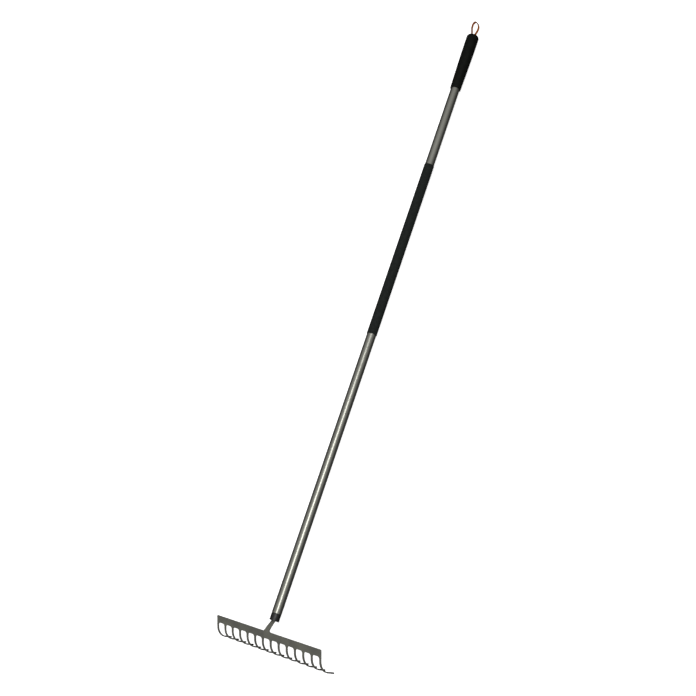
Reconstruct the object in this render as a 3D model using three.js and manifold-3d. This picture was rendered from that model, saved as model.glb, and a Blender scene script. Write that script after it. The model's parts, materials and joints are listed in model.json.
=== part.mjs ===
// Level-head garden rake: a stamped steel head with curved tines on a long aluminium shaft, lying on
// its tine tips and on the end of its handle. Millimetres, +Z up, +Y towards the handle's end.
// Every piece is drawn about the shaft's axis: X along the head's bar, Y along the shaft with Y = 0
// where the steel neck leaves the ferrule, and the tines curling down towards -Z.

import * as THREE from 'three';
import { mergeVertices } from 'three/addons/utils/BufferGeometryUtils.js';
import Module from 'manifold-3d';

const wasm = await Module();
wasm.setup();

const radians = THREE.MathUtils.degToRad;

// Head: one sheet of steel, cut and bent
const SHEET = 3;
const BAR_LENGTH = 370;
const BAR_TOP = new THREE.Vector2(-28.4, 11.2);
const BAR_TILT = radians(26);
const FLAT_HEIGHT = 26.7;
const SOLID_HEIGHT = 16.5;
const GAP_CORNER = 6;
const TINES = 14;
const TINE_ROOT = 4.8;
const TINE_TIP = 3.4;
const CURL_RADIUS = 32;
const CURL = radians(73.6);
const TIP_LENGTH = 19.2;

// Neck and tang: the same sheet, bent over from the bar's top edge into the ferrule
const NECK_OVERLAP = 6;
const NECK_FOLD_RADIUS = 5;
const NECK_SWEEP_RADIUS = 55;
const TANG_BEND_RADIUS = 14;
const NECK_LEAN = radians(24);
const FOLD_LEAN = radians(11);
const NECK_BASE_HALF = 8;
const NECK_TOP_HALF = 5.5;
const NECK_FILLET = 6;
const TANG_END = 50;

// Shaft tube and the plug that carries the head
const TUBE_RADIUS = 12;
const TUBE_WALL = 1.2;
const FIT_GAP = 0.3;
const FERRULE_LENGTH = 17.6;
const FERRULE_RADIUS = 11.8;
const FERRULE_LIP_RADIUS = 12.1;
const FERRULE_LIP = 2.6;
const SPIGOT_RADIUS = TUBE_RADIUS - TUBE_WALL - FIT_GAP;
const SPIGOT_END = 62;
const SCREW_Y = 40;
const SCREW_RADIUS = 1.9;
const SCREW_HEAD_RADIUS = 3.8;
const SCREW_HEAD_HEIGHT = 2.2;
const SCREW_TIP_Z = 6.5;

// Grips
const SLEEVE_BORE = TUBE_RADIUS + FIT_GAP;
const MID_GRIP_START = 738;
const MID_GRIP_END = 1227;
const MID_GRIP_RADIUS = 13.1;
const END_GRIP_START = 1462;
const END_GRIP_END = 1631.5;
const END_GRIP_THIN_RADIUS = 14.4;
const END_GRIP_WIDE_RADIUS = 16.7;
const END_GRIP_ROUNDING = 7.5;

// Hanging loop, its pin, and the plug that holds the pin
const PIN_DEPTH = 9;
const PIN_Y = END_GRIP_END - PIN_DEPTH;
const PIN_RADIUS = 2.5;
const PIN_GAP = 0.15;
const TUBE_END = PIN_Y + 4.5;
const PLUG_START = PIN_Y - 42;
const PLUG_FLANGE = 1.5;
const PLUG_FLANGE_RADIUS = 11.9;
const PLUG_SLOT = { width: 17, height: 9.2, back: PIN_Y - 6 };
const MOUTH = { width: 21, height: 10.8 };
const STRAP_WIDTH = 6;
const STRAP_THICKNESS = 2.2;
const LOOP_LEAN = radians(4);
// The strap's route, out one side of the pin and back to the other: [sideways, past the pin]
const STRAP_ROUTE = [
  [0.9, -3.9], [2.9, -2.8], [3.9, -0.9], [4.1, 1.5], [4.7, 6], [6.1, 12], [9, 19], [11.2, 26],
  [11.8, 32], [10.4, 38], [7.4, 44], [3.6, 49.5], [-0.8, 54], [-5.2, 56.4], [-9.4, 55],
  [-12, 50.5], [-12.8, 44.5], [-12, 37.5], [-10, 30], [-7.8, 22], [-6, 14], [-4.8, 6.5],
  [-4.1, 1.5], [-3.9, -0.9], [-2.9, -2.8], [-0.9, -3.9],
];

const ROUND_SEGMENTS = 48;
const SMALL_SEGMENTS = 24;
const ARC_SEGMENTS = 9;

const material = (color, roughness, metalness) =>
  new THREE.MeshStandardMaterial({ color, roughness, metalness });
const coatedSteel = material(0x55554d, 0.55, 0.3);
const aluminium = material(0x8f8f88, 0.35, 0.9);
const blackPlastic = material(0x141513, 0.5, 0);
const gripFoam = material(0x262927, 0.9, 0);
const gripRubber = material(0x10130f, 0.7, 0);
const plainSteel = material(0x9a9a98, 0.3, 1);
const leather = material(0x8a4a18, 0.65, 0);

// --- Solids ---------------------------------------------------------------------------------------

function toSolid(geometry) {
  const bare = geometry.clone();
  bare.deleteAttribute('normal');
  bare.deleteAttribute('uv');
  const merged = mergeVertices(bare, 1e-4);
  return new wasm.Manifold(new wasm.Mesh({
    numProp: 3,
    vertProperties: new Float32Array(merged.attributes.position.array),
    triVerts: new Uint32Array(merged.index.array),
  }));
}

function toGeometry(solid) {
  const mesh = solid.getMesh();
  const geometry = new THREE.BufferGeometry();
  geometry.setAttribute('position', new THREE.BufferAttribute(mesh.vertProperties, 3));
  geometry.setIndex(new THREE.BufferAttribute(mesh.triVerts, 1));
  geometry.computeVertexNormals();
  return geometry;
}

function prism(shape, depth, curveSegments = ARC_SEGMENTS) {
  return new THREE.ExtrudeGeometry(shape, { depth, curveSegments, bevelEnabled: false });
}

// A shape drawn as (Y, Z), made into a bar of the given width centred on X = 0
function acrossX(shape, width) {
  const turned = new THREE.Matrix4().makeBasis(
    new THREE.Vector3(0, 1, 0), new THREE.Vector3(0, 0, 1), new THREE.Vector3(1, 0, 0));
  return prism(shape, width).applyMatrix4(turned).translate(-width / 2, 0, 0);
}

// A profile of [radius, Y] points turned about the shaft's axis
function turned(profile, segments = ROUND_SEGMENTS) {
  return new THREE.LatheGeometry(profile.map(([r, y]) => new THREE.Vector2(r, y)), segments);
}

// A cylinder standing along Z
function upright(radius, low, high, segments = SMALL_SEGMENTS) {
  return new THREE.CylinderGeometry(radius, radius, high - low, segments)
    .rotateX(Math.PI / 2).translate(0, 0, (low + high) / 2);
}

// A slot along the shaft, square to it, from one Y to another
function slotCut({ width, height }, from, to) {
  return new THREE.BoxGeometry(width, to - from, height).translate(0, (from + to) / 2, 0);
}

// --- Head -----------------------------------------------------------------------------------------

// Unit vectors in the (Y, Z) plane: down the sheet where it leans by angle, and out of its back
const downSheet = (angle) => new THREE.Vector2(-Math.cos(angle), -Math.sin(angle));
const outOfSheet = (angle) => new THREE.Vector2(-Math.sin(angle), Math.cos(angle));

const along = (point, direction, distance) => point.clone().addScaledVector(direction, distance);

// The sheet's inner and outer corners where it is cut square
function edgeAcross(point, angle, half) {
  return [along(point, outOfSheet(angle), -half), along(point, outOfSheet(angle), half)];
}

const CURL_START = along(BAR_TOP, downSheet(BAR_TILT), FLAT_HEIGHT);
const CURL_CENTRE = along(CURL_START, outOfSheet(BAR_TILT), -CURL_RADIUS);
const TIP_ANGLE = BAR_TILT + CURL;
const CURL_END = along(CURL_CENTRE, outOfSheet(TIP_ANGLE), CURL_RADIUS);
const TIP = along(CURL_END, downSheet(TIP_ANGLE), TIP_LENGTH);
const TINE_PITCH = (BAR_LENGTH - TINE_ROOT) / (TINES - 1);

// The bar and a tine seen from the end: flat, then curled, then straight to the tip
function barSection() {
  const half = SHEET / 2;
  const from = Math.PI / 2 + BAR_TILT;
  const to = Math.PI / 2 + TIP_ANGLE;
  const shape = new THREE.Shape(edgeAcross(BAR_TOP, BAR_TILT, half));
  shape.absarc(CURL_CENTRE.x, CURL_CENTRE.y, CURL_RADIUS + half, from, to, false);
  const [tipInner, tipOuter] = edgeAcross(TIP, TIP_ANGLE, half);
  shape.lineTo(tipOuter.x, tipOuter.y);
  shape.lineTo(tipInner.x, tipInner.y);
  shape.absarc(CURL_CENTRE.x, CURL_CENTRE.y, CURL_RADIUS - half, to, from, true);
  shape.closePath();
  return shape;
}

// The gap between two tines, cut square to the bar: round-cornered, with sides that open downwards
function tineGap(centreX) {
  const rootHalf = (TINE_PITCH - TINE_ROOT) / 2;
  const mouthHalf = (TINE_PITCH - TINE_TIP) / 2;
  const cornerX = rootHalf - GAP_CORNER;
  const cornerY = -(SOLID_HEIGHT + GAP_CORNER);
  const pastTips = -(FLAT_HEIGHT + CURL_RADIUS + TIP_LENGTH);
  const cutDepth = 2 * (CURL_RADIUS + TIP_LENGTH);
  const shape = new THREE.Shape();
  shape.moveTo(centreX + mouthHalf, pastTips);
  shape.lineTo(centreX + rootHalf, cornerY);
  shape.absarc(centreX + cornerX, cornerY, GAP_CORNER, 0, Math.PI / 2, false);
  shape.absarc(centreX - cornerX, cornerY, GAP_CORNER, Math.PI / 2, Math.PI, false);
  shape.lineTo(centreX - mouthHalf, pastTips);
  shape.closePath();
  const up = downSheet(BAR_TILT).negate();
  const out = outOfSheet(BAR_TILT);
  const placed = new THREE.Matrix4().makeBasis(
    new THREE.Vector3(1, 0, 0), new THREE.Vector3(0, up.x, up.y), new THREE.Vector3(0, out.x, out.y));
  placed.setPosition(0, BAR_TOP.x, BAR_TOP.y);
  return prism(shape, cutDepth, 6).translate(0, 0, 10 - cutDepth).applyMatrix4(placed);
}

// The neck and tang seen from the side, as one strip of the given thickness
function neckSection(thickness) {
  const half = thickness / 2;
  const foldCentre = along(BAR_TOP, outOfSheet(BAR_TILT), -NECK_FOLD_RADIUS);
  const sweepCentre = along(foldCentre, outOfSheet(-FOLD_LEAN), NECK_FOLD_RADIUS - NECK_SWEEP_RADIUS);
  const sweepEnd = along(sweepCentre, outOfSheet(-NECK_LEAN), NECK_SWEEP_RADIUS);
  const bendDrop = TANG_BEND_RADIUS * (1 - Math.cos(NECK_LEAN));
  const straight = (sweepEnd.y - bendDrop) / Math.sin(NECK_LEAN);
  const bendStart = along(sweepEnd, downSheet(-NECK_LEAN), -straight);
  const bendCentre = along(bendStart, outOfSheet(-NECK_LEAN), TANG_BEND_RADIUS);
  const quarter = Math.PI / 2;
  const base = along(BAR_TOP, downSheet(BAR_TILT), NECK_OVERLAP);
  const shape = new THREE.Shape(edgeAcross(base, BAR_TILT, half));
  shape.absarc(foldCentre.x, foldCentre.y, NECK_FOLD_RADIUS + half,
    quarter + BAR_TILT, quarter - FOLD_LEAN, true);
  shape.absarc(sweepCentre.x, sweepCentre.y, NECK_SWEEP_RADIUS + half,
    quarter - FOLD_LEAN, quarter - NECK_LEAN, true);
  shape.absarc(bendCentre.x, bendCentre.y, TANG_BEND_RADIUS - half,
    -quarter - NECK_LEAN, -quarter, false);
  shape.lineTo(TANG_END + half - SHEET / 2, half);
  shape.lineTo(TANG_END + half - SHEET / 2, -half);
  shape.absarc(bendCentre.x, bendCentre.y, TANG_BEND_RADIUS + half,
    -quarter, -quarter - NECK_LEAN, true);
  shape.absarc(sweepCentre.x, sweepCentre.y, NECK_SWEEP_RADIUS - half,
    quarter - NECK_LEAN, quarter - FOLD_LEAN, false);
  shape.absarc(foldCentre.x, foldCentre.y, NECK_FOLD_RADIUS - half,
    quarter - FOLD_LEAN, quarter + BAR_TILT, false);
  shape.closePath();
  return shape;
}

// The neck and tang seen from above: filleted into the bar and narrowing into the ferrule
function neckPlan(grow) {
  const barEdge = BAR_TOP.x - 0.5;
  const filletTop = barEdge + NECK_FILLET;
  const filletX = NECK_BASE_HALF + NECK_FILLET;
  const shape = new THREE.Shape();
  shape.moveTo(-filletX, barEdge - NECK_OVERLAP);
  shape.lineTo(filletX, barEdge - NECK_OVERLAP);
  shape.lineTo(filletX, barEdge);
  shape.absarc(filletX, filletTop, NECK_FILLET, -Math.PI / 2, -Math.PI, true);
  shape.lineTo(NECK_TOP_HALF + grow, 0);
  shape.lineTo(NECK_TOP_HALF + grow, TANG_END + grow);
  shape.lineTo(-NECK_TOP_HALF - grow, TANG_END + grow);
  shape.lineTo(-NECK_TOP_HALF - grow, 0);
  shape.lineTo(-NECK_BASE_HALF, filletTop);
  shape.absarc(-filletX, filletTop, NECK_FILLET, 0, -Math.PI / 2, true);
  shape.closePath();
  return shape;
}

// The neck and tang, grown on every side where it is the cut for them
function neckSolid(grow) {
  const side = toSolid(acrossX(neckSection(SHEET + 2 * grow), 4 * NECK_BASE_HALF));
  const plan = toSolid(prism(neckPlan(grow), 80, 5).translate(0, 0, -40));
  return side.intersect(plan);
}

function rakeHead() {
  let head = toSolid(acrossX(barSection(), BAR_LENGTH));
  for (let gap = 0; gap < TINES - 1; gap += 1) {
    const centreX = (gap + 1 - TINES / 2) * TINE_PITCH;
    head = head.subtract(toSolid(tineGap(centreX)));
  }
  const screwHole = toSolid(upright(SCREW_RADIUS + FIT_GAP, -SHEET, SHEET).translate(0, SCREW_Y, 0));
  return toGeometry(head.add(neckSolid(0)).subtract(screwHole));
}

// --- Ferrule and its screw ------------------------------------------------------------------------

function ferrulePlug() {
  const body = turned([
    [0, 0], [FERRULE_LIP_RADIUS - 0.8, 0], [FERRULE_LIP_RADIUS, 0.8],
    [FERRULE_LIP_RADIUS, FERRULE_LIP - 0.3], [FERRULE_RADIUS, FERRULE_LIP],
    [FERRULE_RADIUS, FERRULE_LENGTH], [SPIGOT_RADIUS, FERRULE_LENGTH],
    [SPIGOT_RADIUS, SPIGOT_END - 1.5], [SPIGOT_RADIUS - 1.5, SPIGOT_END], [0, SPIGOT_END],
  ]);
  const tangSlot = neckSolid(FIT_GAP);
  const screwHole = toSolid(
    upright(SCREW_RADIUS + FIT_GAP, -SPIGOT_RADIUS - 1, SCREW_TIP_Z + FIT_GAP).translate(0, SCREW_Y, 0));
  return toGeometry(toSolid(body).subtract(tangSlot).subtract(screwHole));
}

function shaftTube() {
  const bore = TUBE_RADIUS - TUBE_WALL;
  const start = FERRULE_LENGTH + FIT_GAP;
  const tube = turned([
    [bore, start], [TUBE_RADIUS, start], [TUBE_RADIUS, TUBE_END], [bore, TUBE_END], [bore, start],
  ]);
  const screwHole = upright(SCREW_RADIUS + FIT_GAP, -TUBE_RADIUS - 1, -bore + 2)
    .translate(0, SCREW_Y, 0);
  return toGeometry(toSolid(tube).subtract(toSolid(screwHole)));
}

// A pan-head screw driven up through the tube, the plug and the tang
function fixingScrew() {
  const seat = -(TUBE_RADIUS + FIT_GAP);
  const bottom = seat - SCREW_HEAD_HEIGHT;
  const profile = [
    [0, bottom], [SCREW_HEAD_RADIUS * 0.6, bottom], [SCREW_HEAD_RADIUS, bottom + 0.9],
    [SCREW_HEAD_RADIUS, seat], [SCREW_RADIUS, seat], [SCREW_RADIUS, SCREW_TIP_Z - 2.5],
    [0, SCREW_TIP_Z],
  ];
  return turned(profile, SMALL_SEGMENTS).rotateX(Math.PI / 2).translate(0, SCREW_Y, 0);
}

// --- Grips ----------------------------------------------------------------------------------------

function midGrip() {
  const round = 0.7;
  return turned([
    [SLEEVE_BORE, MID_GRIP_START], [MID_GRIP_RADIUS - round, MID_GRIP_START],
    [MID_GRIP_RADIUS, MID_GRIP_START + 2 * round], [MID_GRIP_RADIUS, MID_GRIP_END - 2 * round],
    [MID_GRIP_RADIUS - round, MID_GRIP_END], [SLEEVE_BORE, MID_GRIP_END],
    [SLEEVE_BORE, MID_GRIP_START],
  ]);
}

// The handle's end: it swells towards a rounded end wall, which has a mouth for the loop
function endGrip() {
  const taperY = END_GRIP_START + 1.6;
  const wideY = END_GRIP_END - END_GRIP_ROUNDING;
  const boreEnd = TUBE_END + FIT_GAP + PLUG_FLANGE + FIT_GAP;
  const steps = 8;
  const profile = [
    [SLEEVE_BORE, END_GRIP_START], [END_GRIP_THIN_RADIUS - 0.8, END_GRIP_START],
  ];
  for (let step = 0; step < steps; step += 1) {
    const swell = Math.sin((Math.PI / 2) * (step / steps));
    profile.push([
      THREE.MathUtils.lerp(END_GRIP_THIN_RADIUS, END_GRIP_WIDE_RADIUS, swell),
      THREE.MathUtils.lerp(taperY, wideY, step / steps),
    ]);
  }
  const roundingCentre = END_GRIP_WIDE_RADIUS - END_GRIP_ROUNDING;
  for (let step = 0; step <= steps; step += 1) {
    const angle = (Math.PI / 2) * (step / steps);
    profile.push([
      roundingCentre + END_GRIP_ROUNDING * Math.cos(angle),
      wideY + END_GRIP_ROUNDING * Math.sin(angle),
    ]);
  }
  profile.push([0, END_GRIP_END], [0, boreEnd], [SLEEVE_BORE, boreEnd], [SLEEVE_BORE, END_GRIP_START]);
  const mouth = slotCut(MOUTH, boreEnd - 1, END_GRIP_END + 1);
  return toGeometry(toSolid(turned(profile)).subtract(toSolid(mouth)));
}

// --- Hanging loop ---------------------------------------------------------------------------------

function endPlug() {
  const flangeStart = TUBE_END + FIT_GAP;
  const flangeEnd = flangeStart + PLUG_FLANGE;
  const body = turned([
    [0, PLUG_START], [SPIGOT_RADIUS - 1.5, PLUG_START], [SPIGOT_RADIUS, PLUG_START + 1.5],
    [SPIGOT_RADIUS, flangeStart], [PLUG_FLANGE_RADIUS, flangeStart],
    [PLUG_FLANGE_RADIUS, flangeEnd], [0, flangeEnd],
  ]);
  const slot = slotCut(PLUG_SLOT, PLUG_SLOT.back, flangeEnd + 1);
  const pinHole = upright(PIN_RADIUS + PIN_GAP, -SPIGOT_RADIUS - 1, SPIGOT_RADIUS + 1)
    .translate(0, PIN_Y, 0);
  return toGeometry(toSolid(body).subtract(toSolid(slot)).subtract(toSolid(pinHole)));
}

function loopPin() {
  const half = SPIGOT_RADIUS - 0.6;
  const chamfer = 0.5;
  const profile = [
    [0, -half], [PIN_RADIUS - chamfer, -half], [PIN_RADIUS, -half + chamfer],
    [PIN_RADIUS, half - chamfer], [PIN_RADIUS - chamfer, half], [0, half],
  ];
  return turned(profile, SMALL_SEGMENTS).rotateX(Math.PI / 2).translate(0, PIN_Y, 0);
}

// A flat strap on edge, from behind the pin round the loop's tip and back
function hangingLoop() {
  const section = new THREE.Shape();
  const halfWidth = STRAP_WIDTH / 2;
  const halfThickness = STRAP_THICKNESS / 2;
  section.moveTo(-halfWidth, -halfThickness);
  section.lineTo(halfWidth, -halfThickness);
  section.lineTo(halfWidth, halfThickness);
  section.lineTo(-halfWidth, halfThickness);
  section.closePath();
  const points = STRAP_ROUTE.map(([x, y]) => new THREE.Vector3(x, y, 0));
  const route = new THREE.CatmullRomCurve3(points, false, 'centripetal');
  return new THREE.ExtrudeGeometry(section, { steps: 72, extrudePath: route, bevelEnabled: false })
    .rotateZ(LOOP_LEAN).translate(0, PIN_Y, 0);
}

// --- Assembly -------------------------------------------------------------------------------------

const rake = new THREE.Group();

function place(name, geometry, finish) {
  const mesh = new THREE.Mesh(geometry, finish);
  mesh.name = name;
  rake.add(mesh);
  return mesh;
}

place('rake_head', rakeHead(), coatedSteel);
place('ferrule_plug', ferrulePlug(), blackPlastic);
place('fixing_screw', fixingScrew(), plainSteel);
place('shaft_tube', shaftTube(), aluminium);
place('mid_grip', midGrip(), gripFoam);
place('end_grip', endGrip(), gripRubber);
place('end_plug', endPlug(), blackPlastic);
place('loop_pin', loopPin(), plainSteel);

// Tip the rake until its tines and the wide end of the handle stand on one level, then put the middle
// of its footprint at the origin. The loop hangs off the end and doesn't count towards the footprint.
const tipFoot = along(TIP, outOfSheet(TIP_ANGLE), SHEET / 2);
const handleFootY = END_GRIP_END - END_GRIP_ROUNDING;
const slope = Math.atan2(-tipFoot.y - END_GRIP_WIDE_RADIUS, handleFootY - tipFoot.x);
rake.rotation.x = -slope;
rake.updateMatrixWorld(true);
const box = new THREE.Box3().setFromObject(rake, true);
rake.position.set(0, -(box.min.y + box.max.y) / 2, -box.min.z);
place('hanging_loop', hangingLoop(), leather);

export default rake;
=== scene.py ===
"""Looks of a level-head garden rake: a stamped, powder-coated steel head on a satin aluminium tube, with
a foam sleeve, a moulded end grip and a leather hanging loop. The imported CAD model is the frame.

Pieces are drawn in millimetres about the shaft: X along the head's bar, Y along the shaft from the
ferrule's lower end, and the tines curling down towards -Z. SHAFT turns that into the row frame's metres.
"""
import json
import math

import bmesh
import bpy
from mathutils import Euler, Matrix, Vector


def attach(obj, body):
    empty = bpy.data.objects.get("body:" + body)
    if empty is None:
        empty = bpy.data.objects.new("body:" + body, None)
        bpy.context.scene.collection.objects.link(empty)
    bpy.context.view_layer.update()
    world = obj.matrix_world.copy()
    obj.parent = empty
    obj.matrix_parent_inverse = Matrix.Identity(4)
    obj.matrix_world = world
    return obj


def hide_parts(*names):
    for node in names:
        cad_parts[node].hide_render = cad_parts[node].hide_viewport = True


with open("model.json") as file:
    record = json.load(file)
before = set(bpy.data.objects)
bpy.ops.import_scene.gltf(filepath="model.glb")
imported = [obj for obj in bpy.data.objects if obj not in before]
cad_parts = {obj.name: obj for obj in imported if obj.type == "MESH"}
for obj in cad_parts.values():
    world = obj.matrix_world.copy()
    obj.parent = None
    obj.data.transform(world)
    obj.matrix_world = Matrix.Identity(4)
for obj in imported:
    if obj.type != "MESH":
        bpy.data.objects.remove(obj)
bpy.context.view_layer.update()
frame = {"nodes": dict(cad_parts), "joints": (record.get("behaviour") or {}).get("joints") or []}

# --- Driving dimensions, in millimetres and degrees ---------------------------------------------------

SHEET = 3.0
BAR_LENGTH = 370.0
BAR_TOP = (-28.4, 11.2)
BAR_TILT = 26.0
FLAT_HEIGHT = 26.7
SOLID_HEIGHT = 16.5
GAP_CORNER = 6.0
TINES = 14
TINE_ROOT = 4.8
TINE_TIP = 3.4
CURL_RADIUS = 32.0
CURL = 73.6
TIP_LENGTH = 19.2
BAR_CORNER = 1.2
TIP_CORNER = 1.1
SHEET_EDGE = 0.8

NECK_FOLD = (5.0, 37.0)  # radius and turn
NECK_SWEEP = (55.0, 13.0)
NECK_LEAN = 24.0
TANG_RADIUS = 14.0
NECK_BASE_HALF = 8.0
NECK_TOP_HALF = 5.5
NECK_FILLET = 6.0
NECK_NARROWEST = 0.75  # how far along the neck its sides turn parallel
NECK_SIDE_ARC = 60.0
TANG_DEPTH = 14.0

TUBE_RADIUS = 12.0
TUBE_WALL = 1.2
FERRULE_LENGTH = 17.6
FERRULE_RADIUS = 11.8
FERRULE_LIP = (12.1, 2.6)  # radius and length
FERRULE_SPIGOT = 6.0
FIT_GAP = 0.3
SCREW_Y = 40.0
SCREW_HEAD = (3.8, 2.2)  # radius and height
SCREW_RECESS = (4.2, 0.9, 2.2)

GRIP_BORE = TUBE_RADIUS + 0.1
MID_GRIP = (738.0, 1227.0, 13.1)  # from, to and radius
END_GRIP = (1462.0, 1631.5)
END_GRIP_RADII = (14.4, 16.7)
END_GRIP_LEAD = 1.6
END_GRIP_ROUNDING = 7.5
END_GRIP_WALL = 2.6
MOUTH = (21.0, 10.8)
MOUTH_CORNER = 3.2

PIN_Y = END_GRIP[1] - 9.0
TUBE_END = PIN_Y + 4.5
STRAP_WIDTH = 6.0
STRAP_THICKNESS = 2.2
STRAP_EDGE = 0.6
LOOP_LEAN = 4.0
# The strap's route, out one side of the pin and back to the other: (sideways, past the pin)
STRAP_ROUTE = [
    (0.9, -3.9), (2.9, -2.8), (3.9, -0.9), (4.1, 1.5), (4.7, 6), (6.1, 12), (9, 19), (11.2, 26),
    (11.8, 32), (10.4, 38), (7.4, 44), (3.6, 49.5), (-0.8, 54), (-5.2, 56.4), (-9.4, 55),
    (-12, 50.5), (-12.8, 44.5), (-12, 37.5), (-10, 30), (-7.8, 22), (-6, 14), (-4.8, 6.5),
    (-4.1, 1.5), (-3.9, -0.9), (-2.9, -2.8), (-0.9, -3.9),
]

# --- Frame --------------------------------------------------------------------------------------------

SWING = frame["joints"][0]
MM = 0.001
SHARP_EDGE = 40.0


def shaft_frame():
    """Shaft millimetres to row metres, from the loop's hinge: its axis is square to the shaft."""
    up = Vector(SWING["axis"]).normalized()
    right = Vector((1, 0, 0))
    turned = Matrix((right, up.cross(right), up)).transposed()
    place = Matrix.Translation(SWING["pos_m"]) @ turned.to_4x4() @ Matrix.Scale(MM, 4)
    return place @ Matrix.Translation((0, -PIN_Y, 0))


SHAFT = shaft_frame()

# --- Camera and cord ----------------------------------------------------------------------------------


def add_camera():
    data = bpy.data.cameras.new("camera")
    data.lens = 58.2
    camera = bpy.data.objects.new("camera", data)
    camera.location = (1.973, -0.783, 1.928)
    camera.rotation_euler = Euler([math.radians(a) for a in (30.353, 40.19, 23.232)])
    bpy.context.collection.objects.link(camera)
    bpy.context.scene.camera = camera


def catmull_rom(points, steps):
    """A smooth open line through all the points."""
    ends = [points[0] * 2 - points[1]] + points + [points[-1] * 2 - points[-2]]
    line = []
    for a, b, c, d in zip(ends, ends[1:], ends[2:], ends[3:]):
        for step in range(steps):
            t = step / steps
            line.append(0.5 * (2 * b + (c - a) * t + (2 * a - 5 * b + 4 * c - d) * t * t
                               + (3 * b - a - 3 * c + d) * t * t * t))
    return line + [points[-1]]


def strap_route():
    """The route in shaft millimetres, leaning as the loop does at rest."""
    lean = Matrix.Rotation(math.radians(LOOP_LEAN), 3, "Z")
    points = [lean @ Vector((x, y, 0)) for x, y in STRAP_ROUTE]
    return [point + Vector((0, PIN_Y, 0)) for point in catmull_rom(points, 6)]


# --- Mesh helpers -------------------------------------------------------------------------------------


def finish_piece(name, bm, material, body, node):
    """Moves a bmesh drawn in shaft millimetres into the row frame, as a piece that stands for a CAD node."""
    bmesh.ops.recalc_face_normals(bm, faces=bm.faces)
    mesh = bpy.data.meshes.new(name)
    bm.to_mesh(mesh)
    bm.free()
    mesh.transform(SHAFT)
    mesh.shade_smooth()
    mesh.set_sharp_from_angle(angle=math.radians(SHARP_EDGE))
    mesh.materials.append(material)
    piece = bpy.data.objects.new(name, mesh)
    bpy.context.collection.objects.link(piece)
    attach(piece, body)
    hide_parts(node)
    return piece


def filleted(corners, closed, step=9.0):
    """Rounds a line of (a, b, radius) corners, with a point for every few degrees of each arc."""
    line = []
    count = len(corners)
    for index, (a, b, radius) in enumerate(corners):
        here = Vector((a, b))
        if radius == 0 or (not closed and index in (0, count - 1)):
            line.append(here)
            continue
        before = (Vector(corners[index - 1][:2]) - here).normalized()
        after = (Vector(corners[(index + 1) % count][:2]) - here).normalized()
        half = before.angle(after) / 2
        centre = here + (before + after).normalized() * (radius / math.sin(half))
        start = here + before * (radius / math.tan(half)) - centre
        sweep = (math.pi - 2 * half) * (1 if before.cross(after) < 0 else -1)
        steps = max(2, round(math.degrees(abs(sweep)) / step))
        for k in range(steps + 1):
            line.append(centre + Matrix.Rotation(sweep * k / steps, 2) @ start)
    return line


def lathe(profile, segments=96, closed=False):
    """A (radius, Y, fillet) profile turned about the shaft. Closed profiles join their end to their start."""
    line = filleted(profile, closed)
    bm = bmesh.new()
    rings = []
    for radius, y in line:
        if radius < 1e-6:
            rings.append([bm.verts.new((0, y, 0))])
            continue
        angles = [2 * math.pi * k / segments for k in range(segments)]
        rings.append([bm.verts.new((radius * math.cos(a), y, radius * math.sin(a))) for a in angles])
    pairs = list(zip(rings, rings[1:])) + ([(rings[-1], rings[0])] if closed else [])
    for low, high in pairs:
        for k in range(segments):
            corners = [low[k % len(low)], low[(k + 1) % len(low)],
                       high[(k + 1) % len(high)], high[k % len(high)]]
            unique = list(dict.fromkeys(corners))
            if len(unique) > 2:
                bm.faces.new(unique)
    return bm


def round_edges(piece, width):
    bevel = piece.modifiers.new("rounded_edges", "BEVEL")
    bevel.width = width * MM
    bevel.segments = 3
    bevel.limit_method = "ANGLE"
    bevel.angle_limit = math.radians(50)
    bevel.harden_normals = True


# --- Materials ----------------------------------------------------------------------------------------


def linear(code):
    """A screen colour such as 5e5e56 as the shader's linear red, green and blue."""
    parts = [int(code[k:k + 2], 16) / 255 for k in (0, 2, 4)]
    return [c / 12.92 if c <= 0.04045 else ((c + 0.055) / 1.055) ** 2.4 for c in parts] + [1]


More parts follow.
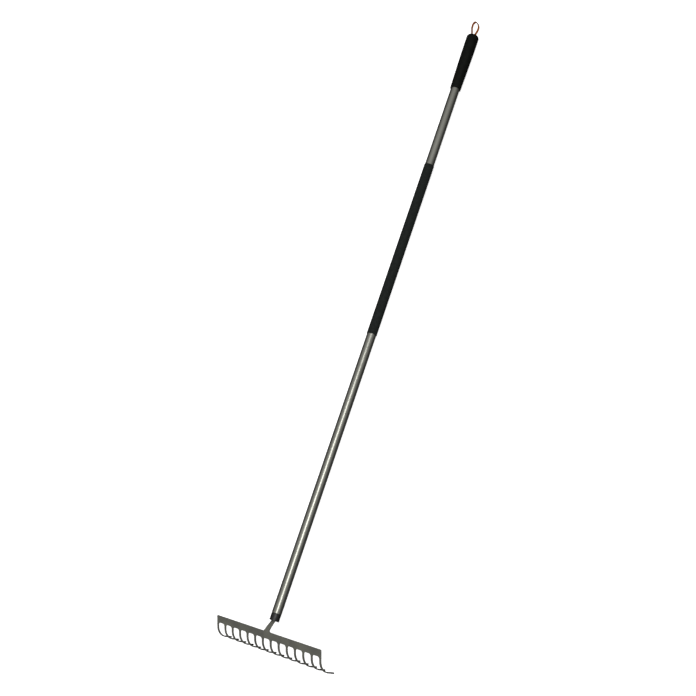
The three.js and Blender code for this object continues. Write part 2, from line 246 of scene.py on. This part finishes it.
class Surface:
    """A principled material with helpers for procedural colour, roughness and relief."""

    NOISE_LOW, NOISE_HIGH = 0.35, 0.65

    def __init__(self, name, **sockets):
        self.material = bpy.data.materials.new(name)
        self.material.use_nodes = True
        self.tree = self.material.node_tree
        self.shader = self.tree.nodes["Principled BSDF"]
        self.relief = None
        for socket, value in sockets.items():
            self.shader.inputs[socket.replace("_", " ").title().replace("Ior", "IOR")].default_value = value

    def add(self, kind, **links):
        node = self.tree.nodes.new(kind)
        for socket, value in links.items():
            target = node.inputs[socket.replace("_", " ")]
            if isinstance(value, bpy.types.NodeSocket):
                self.tree.links.new(value, target)
            else:
                target.default_value = value
        return node

    def place(self):
        """The object's own coordinates, in metres."""
        return self.add("ShaderNodeTexCoord").outputs["Object"]

    def noise(self, scale, detail, stretch=(1, 1, 1)):
        """Noise with so many features in a metre, times the stretch along each axis."""
        sized = self.add("ShaderNodeMapping", Vector=self.place(), Scale=[scale * s for s in stretch])
        noise = self.add("ShaderNodeTexNoise", Vector=sized.outputs[0], Scale=1.0, Detail=detail)
        return noise.outputs["Fac"]

    def remap(self, factor, low, high, to_low, to_high):
        node = self.add("ShaderNodeMapRange", Value=factor)
        for socket, value in (("From Min", low), ("From Max", high), ("To Min", to_low), ("To Max", to_high)):
            node.inputs[socket].default_value = value
        return node.outputs["Result"]

    def colour(self, factor, dark, light):
        """Runs between two colours with a noise."""
        ramp = self.add("ShaderNodeValToRGB", Fac=factor)
        ramp.color_ramp.elements[0].position = self.NOISE_LOW
        ramp.color_ramp.elements[0].color = linear(dark)
        ramp.color_ramp.elements[1].position = self.NOISE_HIGH
        ramp.color_ramp.elements[1].color = linear(light)
        self.tree.links.new(ramp.outputs["Color"], self.shader.inputs["Base Color"])
        return ramp.outputs["Color"]

    def height(self):
        """Metres above the floor."""
        return self.add("ShaderNodeSeparateXYZ", Vector=self.place()).outputs["Z"]

    def painted_shade(self, under, code, amount):
        """Mixes a colour of painted shade over the surface's own by so much."""
        mixed = self.add("ShaderNodeMixRGB", Fac=amount, Color1=under, Color2=linear(code))
        self.tree.links.new(mixed.outputs["Color"], self.shader.inputs["Base Color"])

    def rough(self, factor, smooth, coarse):
        """Runs between two roughnesses with a noise."""
        roughness = self.remap(factor, self.NOISE_LOW, self.NOISE_HIGH, smooth, coarse)
        self.tree.links.new(roughness, self.shader.inputs["Roughness"])

    def bump(self, factor, depth):
        """Relief of so many millimetres, on top of any already there."""
        node = self.add("ShaderNodeBump", Height=factor, Distance=depth * MM)
        if self.relief:
            self.tree.links.new(self.relief, node.inputs["Normal"])
        self.relief = node.outputs["Normal"]
        self.tree.links.new(self.relief, self.shader.inputs["Normal"])


def powder_coat():
    """Dark olive-grey coating: fine orange peel, cloudy tone, duller patches and tines in painted shade near
    the floor.
    """
    surface = Surface("powder_coated_steel", specular_ior_level=0.35)
    cloud = surface.noise(28, 5)
    coat = surface.colour(cloud, "60605a", "6e6e65")
    # Painted shade: the coat is mixed towards near black at the floor, fading out 52 mm above it, so the
    # tines come out dark.
    surface.painted_shade(coat, "141411", surface.remap(surface.height(), 0.0, 0.052, 0.92, 0.0))
    surface.rough(surface.noise(90, 3), 0.42, 0.58)
    surface.bump(surface.noise(900, 3), 0.14)
    return surface.material


def drawn_aluminium():
    """Satin tube, with fine lines drawn along its length."""
    surface = Surface("drawn_aluminium", metallic=1.0, specular_tint=linear("50504a"))
    lines = surface.noise(2600, 2, stretch=(1, 0.004, 1))
    surface.colour(surface.noise(40, 4, stretch=(1, 0.15, 1)), "8f8f87", "9a9a92")
    surface.rough(lines, 0.26, 0.36)
    surface.bump(lines, 0.012)
    return surface.material


def moulded_plastic():
    """Black plastic of the ferrule and the end plug, with a faint moulded texture."""
    surface = Surface("black_plastic", specular_ior_level=0.5)
    surface.colour(surface.noise(120, 3), "0a0b09", "121310")
    surface.rough(surface.noise(300, 2), 0.38, 0.5)
    surface.bump(surface.noise(2000, 2), 0.06)
    return surface.material


def foam_sleeve():
    """Closed-cell foam: matte, with fine pores and slight unevenness."""
    surface = Surface("foam_rubber", specular_ior_level=0.2)
    surface.colour(surface.noise(160, 5), "151917", "1c201e")
    surface.rough(surface.noise(200, 2), 0.75, 0.9)
    surface.bump(surface.noise(60, 2), 0.12)
    surface.bump(surface.noise(1800, 4), 0.25)
    return surface.material


def grip_rubber():
    """Moulded rubber of the end grip: nearly black, finely eroded."""
    surface = Surface("grip_rubber", specular_ior_level=0.12)
    surface.colour(surface.noise(90, 4), "050604", "0b0e09")
    surface.rough(surface.noise(150, 3), 0.5, 0.66)
    surface.bump(surface.noise(1500, 3), 0.16)
    return surface.material


def leather_face():
    """Tan strap leather with a pebbled grain and creases across the strap."""
    surface = Surface("tan_leather", specular_ior_level=0.25)
    surface.colour(surface.noise(160, 5), "964804", "c47012")
    surface.rough(surface.noise(240, 3), 0.42, 0.6)
    surface.bump(surface.noise(1500, 5), 0.1)
    surface.bump(surface.noise(420, 2, stretch=(0.3, 0.3, 1.6)), 0.12)
    return surface.material


def leather_edge():
    """The strap's cut edges: darker and fibrous."""
    surface = Surface("leather_edge", specular_ior_level=0.25)
    surface.colour(surface.noise(700, 4), "4c2205", "7a3f10")
    surface.rough(surface.noise(500, 3), 0.7, 0.9)
    surface.bump(surface.noise(2600, 4), 0.15)
    return surface.material


def plated_steel():
    """Zinc plating of the screw and the pin."""
    surface = Surface("plated_steel", metallic=1.0)
    surface.colour(surface.noise(300, 4), "a8a8a4", "bcbcb6")
    surface.rough(surface.noise(700, 3), 0.25, 0.4)
    surface.bump(surface.noise(3000, 2), 0.01)
    return surface.material


# --- Head ---------------------------------------------------------------------------------------------


def walk(start, heading, stretches, distance):
    """Where a line is after so far, and its heading: it runs through (length, turn) stretches in the (Y, Z)
    plane, each straight or an even bend."""
    here = Vector(start)
    for length, turn in stretches:
        part = min(distance, length)
        angle = turn * part / length
        if turn:
            radius = length / turn
            side = Vector((-math.sin(heading), math.cos(heading)))
            here += radius * (side - Matrix.Rotation(angle, 2) @ side)
        else:
            here += part * Vector((math.cos(heading), math.sin(heading)))
        heading += angle
        distance -= part
        if distance <= 0:
            break
    return here, heading


def bend(radius, degrees):
    """A bend as a (length, turn) stretch."""
    return (radius * math.radians(abs(degrees)), math.radians(degrees))


TINE_STRETCHES = [(FLAT_HEIGHT, 0), bend(CURL_RADIUS, CURL), (TIP_LENGTH, 0)]
TINE_END = sum(length for length, turn in TINE_STRETCHES)


def neck_stretches():
    """From the bar's top edge: the fold, the sweep, a straight run down to the shaft's axis, and the tang."""
    lean = math.radians(NECK_LEAN)
    curved = [bend(NECK_FOLD[0], -NECK_FOLD[1]), bend(NECK_SWEEP[0], -NECK_SWEEP[1])]
    top, heading = walk(BAR_TOP, math.radians(BAR_TILT), curved, sum(length for length, turn in curved))
    fall = TANG_RADIUS * (1 - math.cos(lean))
    return curved + [((top.y - fall) / math.sin(lean), 0), bend(TANG_RADIUS, NECK_LEAN), (TANG_DEPTH, 0)]


NECK_STRETCHES = neck_stretches()
NECK_END = sum(length for length, turn in NECK_STRETCHES)


def on_sheet(x, down, out):
    """A point of the bent sheet: down its face from the bar's top edge, or up the neck where negative."""
    tilt = math.radians(BAR_TILT)
    if down >= 0:
        here, heading = walk(BAR_TOP, math.pi + tilt, TINE_STRETCHES, down)
        here += out * Vector((math.sin(heading), -math.cos(heading)))
    else:
        here, heading = walk(BAR_TOP, tilt, NECK_STRETCHES, -down)
        here += out * Vector((-math.sin(heading), math.cos(heading)))
    return Vector((x, here.x, here.y))


def head_outline():
    """The sheet cut flat, as (X, down, fillet) corners: the neck on top and the tines below."""
    half = BAR_LENGTH / 2
    pitch = (BAR_LENGTH - TINE_ROOT) / (TINES - 1)
    root = (pitch - TINE_ROOT) / 2
    mouth = (pitch - TINE_TIP) / 2
    narrow = -NECK_NARROWEST * (NECK_END - TANG_DEPTH)
    corners = [(-half, 0, BAR_CORNER), (-NECK_BASE_HALF, 0, NECK_FILLET),
               (-NECK_TOP_HALF, narrow, NECK_SIDE_ARC), (-NECK_TOP_HALF, -NECK_END, 0),
               (NECK_TOP_HALF, -NECK_END, 0), (NECK_TOP_HALF, narrow, NECK_SIDE_ARC),
               (NECK_BASE_HALF, 0, NECK_FILLET), (half, 0, BAR_CORNER), (half, TINE_END, TIP_CORNER)]
    for gap in reversed(range(TINES - 1)):
        centre = (gap + 1 - TINES / 2) * pitch
        corners += [(centre + mouth, TINE_END, TIP_CORNER), (centre + root, SOLID_HEIGHT, GAP_CORNER),
                    (centre - root, SOLID_HEIGHT, GAP_CORNER), (centre - mouth, TINE_END, TIP_CORNER)]
    return corners + [(-half, TINE_END, TIP_CORNER)]


def bend_lines():
    """The levels where the flat sheet is divided so that it bends smoothly."""
    levels = []
    for stretches, sign in ((TINE_STRETCHES, 1), (NECK_STRETCHES, -1)):
        passed = 0
        for length, turn in stretches:
            steps = max(1, math.ceil(abs(math.degrees(turn)) / 3))
            levels += [sign * (passed + length * k / steps) for k in range(steps + 1)]
            passed += length
    return sorted(set(round(level, 5) for level in levels if abs(level) > 0.01))


def cut_sheet():
    """The flat sheet as one thin layer, divided at the bend lines."""
    bm = bmesh.new()
    bm.faces.new([bm.verts.new((x, down, 0)) for x, down in filleted(head_outline(), True)])
    for level in [0.0] + bend_lines():
        everything = bm.verts[:] + bm.edges[:] + bm.faces[:]
        bmesh.ops.bisect_plane(bm, geom=everything, plane_co=(0, level, 0), plane_no=(0, 1, 0))
    return bm


def rake_head():
    """The sheet given its thickness and bent: the bar, the tines, the neck and the tang in one."""
    flat = cut_sheet()
    bm = bmesh.new()
    outer = {v: bm.verts.new(on_sheet(v.co.x, v.co.y, SHEET / 2)) for v in flat.verts}
    inner = {v: bm.verts.new(on_sheet(v.co.x, v.co.y, -SHEET / 2)) for v in flat.verts}
    for face in flat.faces:
        bm.faces.new([outer[v] for v in face.verts])
        bm.faces.new([inner[v] for v in reversed(face.verts)])
    for edge in flat.edges:
        if edge.is_boundary:
            a, b = edge.verts
            bm.faces.new((outer[a], outer[b], inner[b], inner[a]))
    flat.free()
    piece = finish_piece("head_sheet", bm, powder_coat(), "rake", "rake_head")
    round_edges(piece, SHEET_EDGE)


# --- Ferrule, screw and tube --------------------------------------------------------------------------


def ferrule():
    lip_radius, lip = FERRULE_LIP
    spigot_radius, spigot_end = TUBE_RADIUS - TUBE_WALL - FIT_GAP, FERRULE_LENGTH + FERRULE_SPIGOT
    profile = [(0, 0, 0), (lip_radius, 0, 0.8), (lip_radius, lip, 0.25), (FERRULE_RADIUS, lip + 0.2, 0.15),
               (FERRULE_RADIUS, FERRULE_LENGTH, 0.4), (spigot_radius, FERRULE_LENGTH, 0.2),
               (spigot_radius, spigot_end, 0), (0, spigot_end, 0)]
    finish_piece("ferrule", lathe(profile), moulded_plastic(), "rake", "ferrule_plug")


def tube():
    bore, start = TUBE_RADIUS - TUBE_WALL, FERRULE_LENGTH + FIT_GAP
    profile = [(bore, start, 0.2), (TUBE_RADIUS, start, 0.35),
               (TUBE_RADIUS, TUBE_END, 0.35), (bore, TUBE_END, 0.2)]
    finish_piece("tube", lathe(profile, closed=True), drawn_aluminium(), "rake",
                 "shaft_tube")


def screw():
    """A pan head under the tube, with a cross recess."""
    radius, height = SCREW_HEAD
    profile = [(0, 0, 0), (radius, 0, 1.5), (radius, height, 0.2), (0, height, 0)]
    bm = lathe(profile, 48)
    bmesh.ops.rotate(bm, verts=bm.verts, matrix=Matrix.Rotation(math.pi / 2, 3, "X"))
    bottom = -(TUBE_RADIUS + FIT_GAP + height)
    bmesh.ops.translate(bm, verts=bm.verts, vec=(0, SCREW_Y, bottom))
    piece = finish_piece("screw_head", bm, plated_steel(), "rake", "fixing_screw")
    for turn in (0, math.pi / 2):
        slit = bmesh.new()
        size = Matrix.Diagonal(SCREW_RECESS).to_4x4()
        place = Matrix.Translation((0, SCREW_Y, bottom)) @ Matrix.Rotation(turn, 4, "Z")
        bmesh.ops.create_cube(slit, size=1, matrix=place @ size)
        cut_away(piece, slit)


def cut_away(piece, bm):
    """Cuts a bmesh drawn in shaft millimetres out of a piece, for good."""
    bmesh.ops.recalc_face_normals(bm, faces=bm.faces)
    mesh = bpy.data.meshes.new("cutter")
    bm.to_mesh(mesh)
    bm.free()
    mesh.transform(SHAFT)
    cutter = bpy.data.objects.new("cutter", mesh)
    bpy.context.collection.objects.link(cutter)
    boolean = piece.modifiers.new("cut", "BOOLEAN")
    boolean.object = cutter
    boolean.operation = "DIFFERENCE"
    boolean.solver = "EXACT"
    bpy.context.view_layer.update()
    cut = bpy.data.meshes.new_from_object(piece.evaluated_get(bpy.context.evaluated_depsgraph_get()))
    piece.modifiers.remove(boolean)
    piece.data = cut
    bpy.data.objects.remove(cutter)


# --- Grips --------------------------------------------------------------------------------------------


def mid_grip():
    low, high, radius = MID_GRIP
    profile = [(GRIP_BORE, low, 0.2), (radius, low, 0.8), (radius, high, 0.8), (GRIP_BORE, high, 0.2)]
    finish_piece("foam_grip", lathe(profile, closed=True), foam_sleeve(), "rake",
                 "mid_grip")


def end_grip_profile():
    """A thin start, a swell that levels off at the widest point, and a domed end."""
    low, high = END_GRIP
    thin, wide = END_GRIP_RADII
    start, widest = low + END_GRIP_LEAD, high - END_GRIP_ROUNDING
    profile = [(GRIP_BORE, low, 0), (thin - 0.8, low, 0), (thin - 0.25, low + 0.4, 0)]
    for step in range(24):
        swell = math.sin(math.pi / 2 * step / 24)
        profile.append((thin + (wide - thin) * swell, start + (widest - start) * step / 24, 0))
    for step in range(13):
        angle = math.pi / 2 * step / 12
        profile.append((wide - END_GRIP_ROUNDING * (1 - math.cos(angle)),
                        widest + END_GRIP_ROUNDING * math.sin(angle), 0))
    inside = high - END_GRIP_WALL
    return profile + [(0, high, 0), (0, inside, 0), (GRIP_BORE, inside, 0)]


def end_grip():
    """The handle's end, with a mouth cut through its wall for the loop."""
    piece = finish_piece("handle_grip", lathe(end_grip_profile(), closed=True), grip_rubber(), "rake",
                         "end_grip")
    x, z = MOUTH[0] / 2, MOUTH[1] / 2
    corners = [(-x, -z, MOUTH_CORNER), (x, -z, MOUTH_CORNER), (x, z, MOUTH_CORNER), (-x, z, MOUTH_CORNER)]
    past_end = END_GRIP[1] + 1
    mouth = bmesh.new()
    face = mouth.faces.new([mouth.verts.new((a, past_end, b)) for a, b in filleted(corners, True)])
    extruded = bmesh.ops.extrude_face_region(mouth, geom=[face])["geom"]
    moved = [v for v in extruded if isinstance(v, bmesh.types.BMVert)]
    bmesh.ops.translate(mouth, verts=moved, vec=(0, -2 * END_GRIP_WALL, 0))
    cut_away(piece, mouth)


# --- Hanging loop -------------------------------------------------------------------------------------


def hanging_loop():
    """A flat leather strap on edge, swept along its route."""
    route = strap_route()
    half, thick = STRAP_WIDTH / 2, STRAP_THICKNESS / 2
    section = filleted([(-thick, -half, STRAP_EDGE), (thick, -half, STRAP_EDGE),
                        (thick, half, STRAP_EDGE), (-thick, half, STRAP_EDGE)], True, step=30)
    bm = bmesh.new()
    rings = []
    for index, here in enumerate(route):
        forward = route[min(index + 1, len(route) - 1)] - route[max(index - 1, 0)]
        side = forward.normalized().cross(Vector((0, 0, 1)))
        rings.append([bm.verts.new(here + side * a + Vector((0, 0, b))) for a, b in section])
    for low, high in zip(rings, rings[1:]):
        for k in range(len(section)):
            following = (k + 1) % len(section)
            bm.faces.new((low[k], low[following], high[following], high[k]))
    bm.faces.new(rings[0])
    bm.faces.new(reversed(rings[-1]))
    piece = finish_piece("leather_loop", bm, leather_face(), "loop", "hanging_loop")
    piece.data.materials.append(leather_edge())
    for face in piece.data.polygons:
        face.material_index = int(abs(face.normal.z) > 0.6)


# --- Hidden hardware, kept from the CAD model ---------------------------------------------------------


def carried_over():
    for node, material in (("end_plug", moulded_plastic()), ("loop_pin", plated_steel())):
        for slot in frame["nodes"][node].material_slots:
            slot.material = material


# --- Floor and light ----------------------------------------------------------------------------------


def floor():
    """A pale round studio floor that sweeps up into a wall. It lights nothing but itself."""
    radius, sweep, height = 16, 6, 14
    bm = lathe([(0, 0, 0), (radius, 0, sweep), (radius, height, 0)])
    bmesh.ops.rotate(bm, verts=bm.verts, matrix=Matrix.Rotation(math.pi / 2, 3, "X"))
    mesh = bpy.data.meshes.new("floor")
    bm.to_mesh(mesh)
    bm.free()
    mesh.shade_smooth()
    surface = Surface("pale_floor", base_color=(0.9, 0.9, 0.9, 1), roughness=0.9, specular_ior_level=0.1,
                      emission_color=(1, 1, 1, 1), emission_strength=0.7)
    mesh.materials.append(surface.material)
    piece = bpy.data.objects.new("floor", mesh)
    bpy.context.collection.objects.link(piece)
    piece.visible_diffuse = False
    piece.visible_glossy = False
    piece.visible_shadow = False


def softbox(place, target, size, power):
    data = bpy.data.lights.new("key", "AREA")
    data.shape = "RECTANGLE"
    data.size, data.size_y = size
    data.energy = power
    light = bpy.data.objects.new("key", data)
    light.location = place
    light.rotation_euler = (Vector(target) - Vector(place)).to_track_quat("-Z", "Y").to_euler()
    bpy.context.collection.objects.link(light)


def sky(direction, dark, bright):
    """Soft light all round, falling off evenly away from one direction."""
    world = bpy.data.worlds.new("studio")
    world.use_nodes = True
    nodes, links = world.node_tree.nodes, world.node_tree.links
    nodes["Background"].inputs["Color"].default_value = (1, 1, 1, 1)
    towards = nodes.new("ShaderNodeVectorMath")
    towards.operation = "DOT_PRODUCT"
    towards.inputs[1].default_value = Vector(direction).normalized()
    links.new(nodes.new("ShaderNodeTexCoord").outputs["Generated"], towards.inputs[0])
    strength = nodes.new("ShaderNodeMapRange")
    strength.inputs["To Min"].default_value = dark
    strength.inputs["To Max"].default_value = bright
    links.new(towards.outputs["Value"], strength.inputs["Value"])
    links.new(strength.outputs["Result"], nodes["Background"].inputs["Strength"])
    bpy.context.scene.world = world


def studio():
    """A long softbox beside the camera, over the head and the lower tube, in an even surround."""
    softbox(place=(2.46, -0.5, 3.2), target=(0, -0.5, 0), size=(2.8, 1.3), power=70)
    sky(direction=(0.5, -0.1, 0.86), dark=0.1, bright=0.8)
    bpy.context.scene.view_settings.view_transform = "Standard"


add_camera()
hanging_loop()
rake_head()
ferrule()
tube()
screw()
mid_grip()
end_grip()
carried_over()
floor()
studio()
